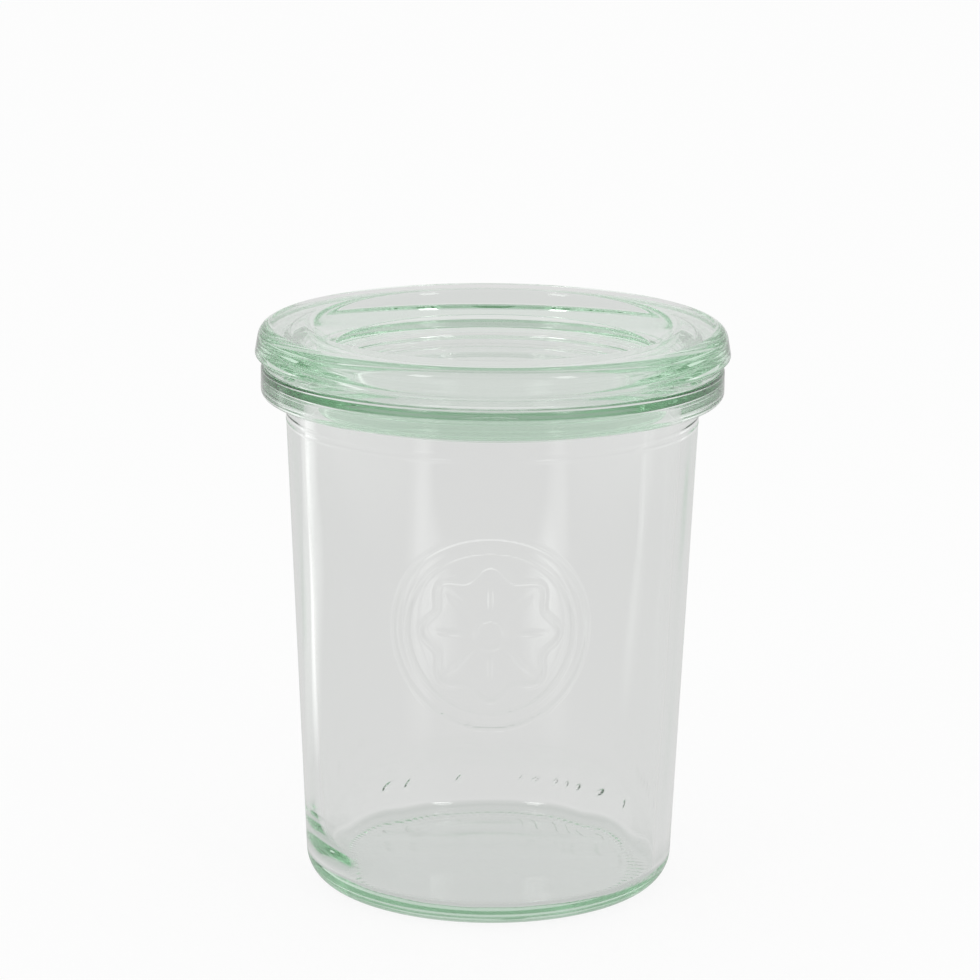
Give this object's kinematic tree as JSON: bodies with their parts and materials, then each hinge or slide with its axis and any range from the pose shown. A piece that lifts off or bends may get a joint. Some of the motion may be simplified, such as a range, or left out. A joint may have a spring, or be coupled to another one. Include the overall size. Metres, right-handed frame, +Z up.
{
  "type": "glass canning jar",
  "caption": "Small tapered canning jar of clear, slightly green glass with a thick collar and a loose stepped glass lid resting on the rim.",
  "frame": {"origin": "centre of the base, on the surface the jar stands on", "axes": "+Z up along the jar's axis of revolution; -Y towards the side that carries the plain pressed medallion"},
  "size_m": [0.0712, 0.0712, 0.086],
  "materials": {
    "jar_glass": "clear pressed soda-lime glass with a slight green tint",
    "lid_glass": "clear pressed soda-lime glass with a slight green tint"
  },
  "bodies": {
    "root": {"jar": "jar_glass", "lid": "lid_glass"}
  },
  "joints": []
}
